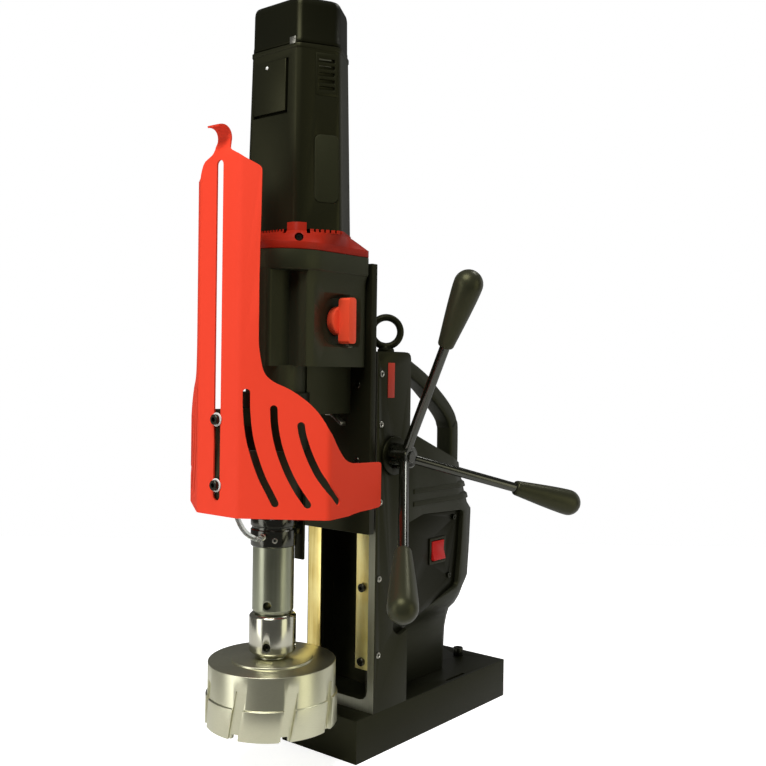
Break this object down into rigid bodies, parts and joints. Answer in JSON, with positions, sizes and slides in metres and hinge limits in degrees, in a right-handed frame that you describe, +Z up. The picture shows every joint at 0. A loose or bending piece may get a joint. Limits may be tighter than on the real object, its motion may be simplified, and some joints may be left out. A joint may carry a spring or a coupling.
{
  "type": "magnetic drill",
  "caption": "Portable drill press with an electromagnet base, a sliding gearbox and motor, a large annular cutter, a bent chip guard and capstan feed levers.",
  "frame": {"origin": "centre of the magnet's bottom face", "axes": "+Z up along the column, -Y towards the drill's front and cutter, +X towards the feed levers"},
  "size_m": [0.3265, 0.511, 0.89],
  "materials": {
    "black_paint": "satin powder coat",
    "black_plastic": "fine grain",
    "red_paint": "satin powder coat",
    "red_plastic": "smooth",
    "steel": "machined",
    "chrome": "polished",
    "cutter_steel": "ground",
    "brass": "machined",
    "copper": "enamelled winding",
    "resin": "cast resin",
    "clear_hose": "clear",
    "board": "circuit board"
  },
  "bodies": {
    "stand": {"magnet_base": "black_paint", "magnet_coil": "copper", "coil_potting": "resin", "base_bolt": "steel", "column_frame": "black_paint", "gib_right": "brass", "gib_left": "brass", "gib_screw_1": "steel", "gib_screw_2": "steel", "gib_screw_3": "steel", "gib_screw_4": "steel", "gib_screw_5": "steel", "red_plate": "red_plastic", "control_housing": "black_plastic", "control_board": "board", "control_panel": "black_plastic", "panel_screw_1": "steel", "panel_screw_2": "steel", "switch_body": "black_plastic", "carry_handle": "black_plastic", "eye_bolt": "black_paint", "pinion_bush": "black_paint"},
    "rocker": {"rocker_switch": "red_plastic"},
    "feed": {"pinion_shaft": "steel", "feed_hub": "black_paint", "feed_rod_1": "black_paint", "feed_rod_2": "black_paint", "feed_rod_3": "black_paint", "feed_knob_1": "black_plastic", "feed_knob_2": "black_plastic", "feed_knob_3": "black_plastic"},
    "carriage": {"slide_carriage": "black_paint", "gear_rack": "steel", "gear_housing": "black_paint", "bearing_lower": "steel", "bearing_upper": "steel", "gearbox_cover": "red_paint", "motor_housing": "black_plastic", "motor_cap": "black_plastic", "brush_cover": "black_plastic", "vent_grille": "black_plastic", "side_pad": "black_plastic", "motor_stator": "steel", "coolant_collar": "black_paint", "collar_stay": "black_paint", "hose_fitting": "chrome", "hose_barb": "brass", "coolant_hose": "clear_hose", "guard_bracket": "black_paint", "guard_screw_1": "steel", "guard_screw_2": "steel", "stay_strap": "steel"},
    "guard": {"chip_guard": "red_paint"},
    "selector": {"selector_knob": "red_plastic"},
    "spindle": {"spindle": "steel", "arbor_sleeve": "chrome", "annular_cutter": "cutter_steel", "spindle_gear": "steel"},
    "idler": {"idler_gear": "steel"},
    "rotor": {"motor_rotor": "steel"}
  },
  "joints": [
    {"name": "carriage_feed", "type": "slide", "parent": "stand", "child": "carriage", "axis": [0, 0, 1], "range_m": [-0.2, 0.055]},
    {"name": "feed_turn", "type": "hinge", "parent": "stand", "child": "feed", "pos_m": [0, -0.1024, 0.3648], "axis": [1, 0, 0], "range_deg": [-200, 720]},
    {"name": "rocker_tilt", "type": "hinge", "parent": "stand", "child": "rocker", "pos_m": [0.0555, 0.0015, 0.233], "axis": [0, 1, 0], "range_deg": [0, 14]},
    {"name": "guard_slide", "type": "slide", "parent": "carriage", "child": "guard", "axis": [0, 0, 1], "range_m": [-0.27, 0.01]},
    {"name": "selector_turn", "type": "hinge", "parent": "carriage", "child": "selector", "pos_m": [0.0435, -0.191, 0.5265], "axis": [1, 0, 0], "range_deg": [0, 90]},
    {"name": "spindle_turn", "type": "hinge", "parent": "carriage", "child": "spindle", "pos_m": [0, -0.2455, 0.3], "axis": [0, 0, 1], "continuous": true},
    {"name": "idler_turn", "type": "hinge", "parent": "carriage", "child": "idler", "pos_m": [-0.027, -0.2095, 0.59], "axis": [0, 0, 1], "continuous": true},
    {"name": "rotor_turn", "type": "hinge", "parent": "carriage", "child": "rotor", "pos_m": [0, -0.211, 0.7], "axis": [0, 0, 1], "continuous": true}
  ],
  "couplings": [
    {"joint": "feed_turn", "follows": "carriage_feed", "rad_per_m": -62.5},
    {"joint": "idler_turn", "follows": "spindle_turn", "ratio": -3.5},
    {"joint": "rotor_turn", "follows": "spindle_turn", "ratio": 8.3125}
  ]
}
